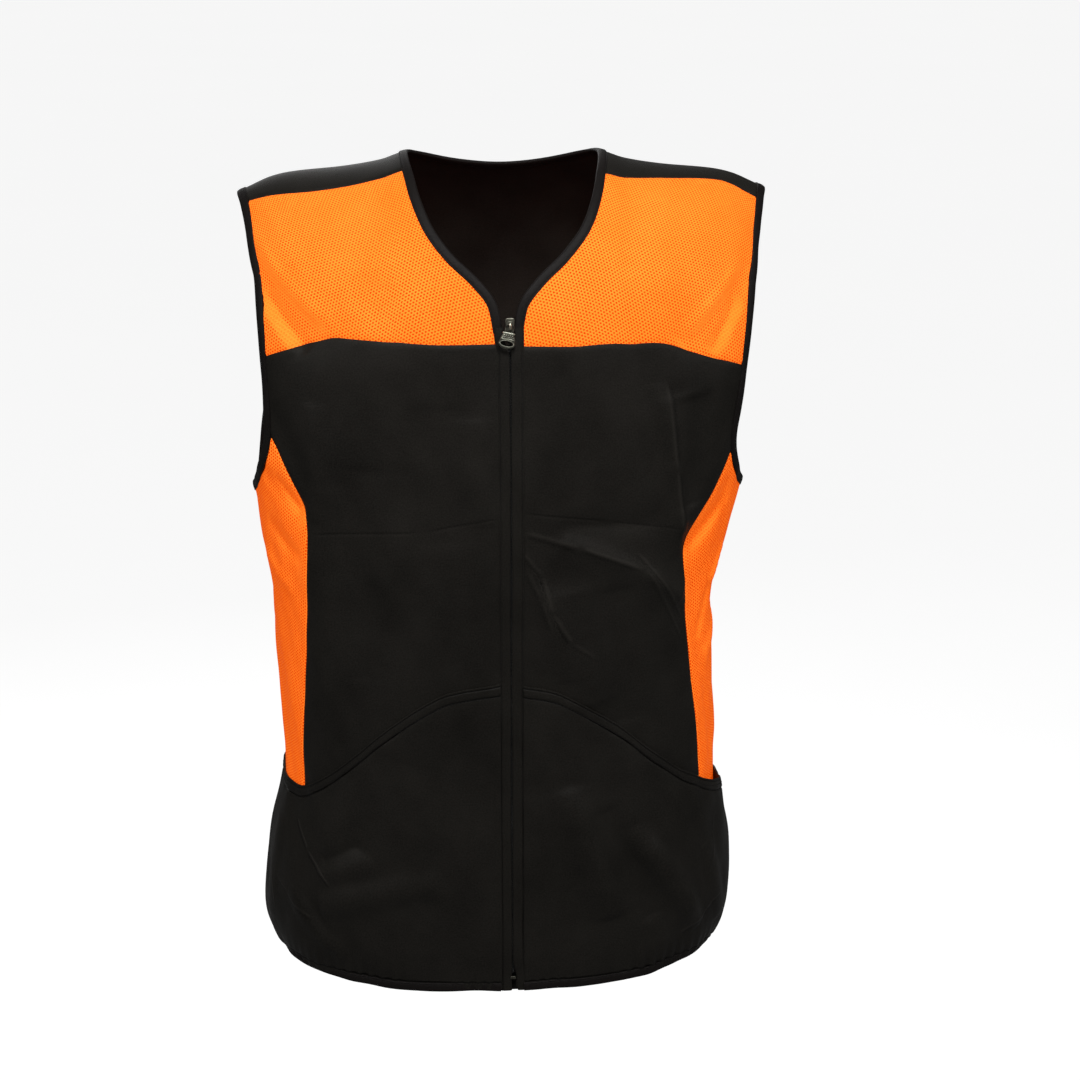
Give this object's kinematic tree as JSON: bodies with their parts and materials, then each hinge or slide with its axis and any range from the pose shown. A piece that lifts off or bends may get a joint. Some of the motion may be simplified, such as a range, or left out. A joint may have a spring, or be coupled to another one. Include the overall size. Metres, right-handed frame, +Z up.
{
  "type": "zip-front vest",
  "caption": "Sleeveless zip-front training vest in its worn shape, with mesh yokes and sides, smooth fronts and back, bound edges and wide curved patch pockets that wrap the hips.",
  "frame": {"origin": "between the two shoulder lines, on the plane of the zip, level with the points where neck and shoulder meet", "axes": "+Z up along the length of the vest, the front faces -Y, the wearer's left side is +X"},
  "size_m": [0.4364, 0.2468, 0.6997],
  "materials": {
    "smooth_cloth": "smooth black stretch shell cloth",
    "mesh_cloth": "orange knitted mesh with small eyelets",
    "binding": "black elastic binding with a faint sheen",
    "zip_tape": "black woven tape",
    "zip_teeth": "black moulded coil",
    "zip_metal": "dark plated die-cast metal"
  },
  "bodies": {
    "vest": {"back_panel": "smooth_cloth", "yoke_left": "mesh_cloth", "yoke_right": "mesh_cloth", "front_panel_left": "smooth_cloth", "front_panel_right": "smooth_cloth", "side_panel_left": "mesh_cloth", "side_panel_right": "mesh_cloth", "pocket_left": "smooth_cloth", "pocket_right": "smooth_cloth", "zip_band_left": "smooth_cloth", "zip_band_right": "smooth_cloth", "zip_tape_left": "zip_tape", "zip_tape_right": "zip_tape", "armhole_binding_left": "binding", "armhole_binding_right": "binding", "neck_binding": "binding", "hem_binding": "binding", "zip_chain": "zip_teeth", "zip_stop": "zip_metal", "zip_slider": "zip_metal"},
    "pull": {"zip_pull": "zip_metal"}
  },
  "joints": [
    {"name": "pull_swing", "type": "hinge", "parent": "vest", "child": "pull", "pos_m": [0, -0.12248, -0.12216], "axis": [-0.9781, 0.047, 0.2025], "range_deg": [0, 150]}
  ]
}
